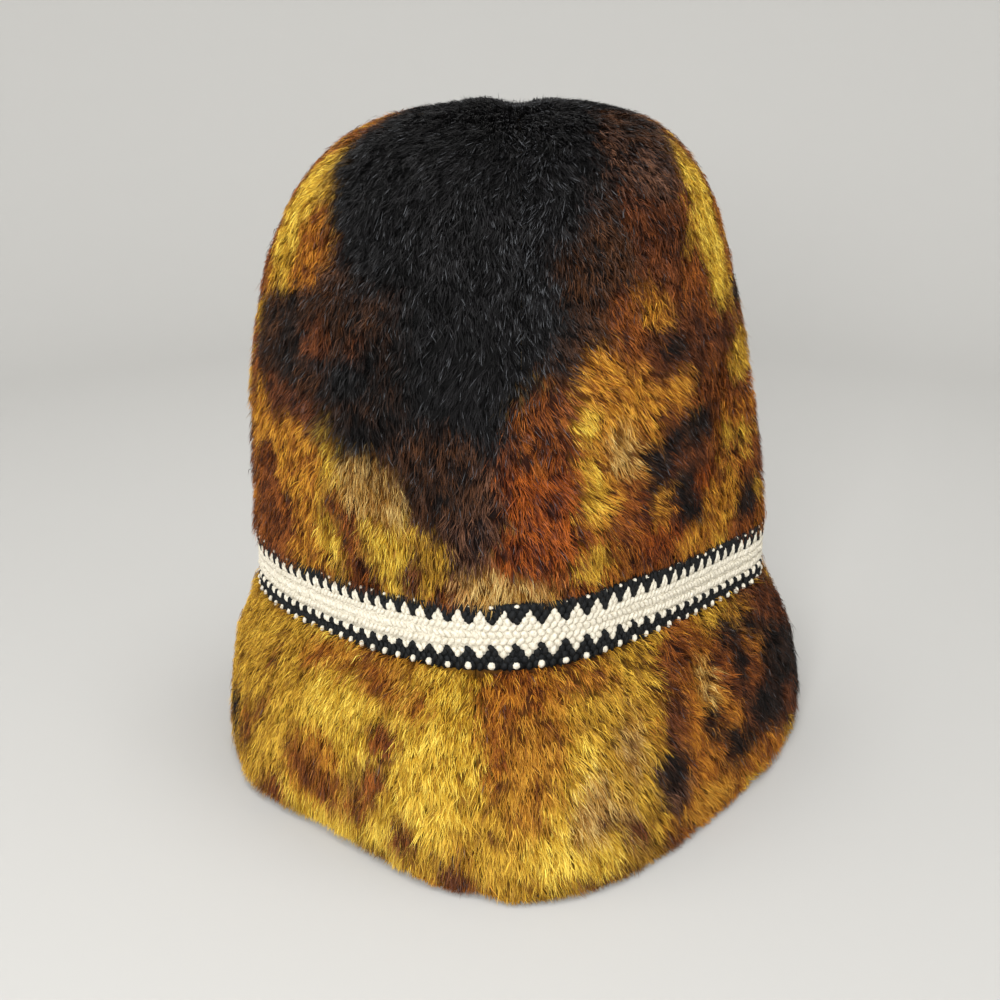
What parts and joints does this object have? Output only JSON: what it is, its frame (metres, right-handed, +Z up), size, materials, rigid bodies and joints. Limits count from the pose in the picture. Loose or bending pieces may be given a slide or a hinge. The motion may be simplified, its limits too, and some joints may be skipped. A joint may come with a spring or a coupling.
{
  "type": "fur hat",
  "caption": "Tall round-crowned hat of mottled plush fur, with a cream and black knitted braid over a flared fur brim that is deeper and pointed at the front",
  "frame": {"origin": "on the surface that the hat stands on, below the middle of its box", "axes": "+Z up, the pointed front of the brim faces -Y, +X is the right as seen from the front"},
  "size_m": [0.2308, 0.2456, 0.243],
  "materials": {
    "crown_fur": "matt plush pile, mottled black, brown and gold",
    "brim_fur": "matt plush pile, gold mottled with rust, brown and black",
    "cream_yarn": "matt knitted yarn",
    "black_yarn": "matt knitted yarn"
  },
  "bodies": {
    "root": {"crown_left": "crown_fur", "crown_right": "crown_fur", "brim_left": "brim_fur", "brim_right": "brim_fur", "braid_cream": "cream_yarn", "braid_upper_edge": "black_yarn", "braid_lower_edge": "black_yarn"}
  },
  "joints": []
}
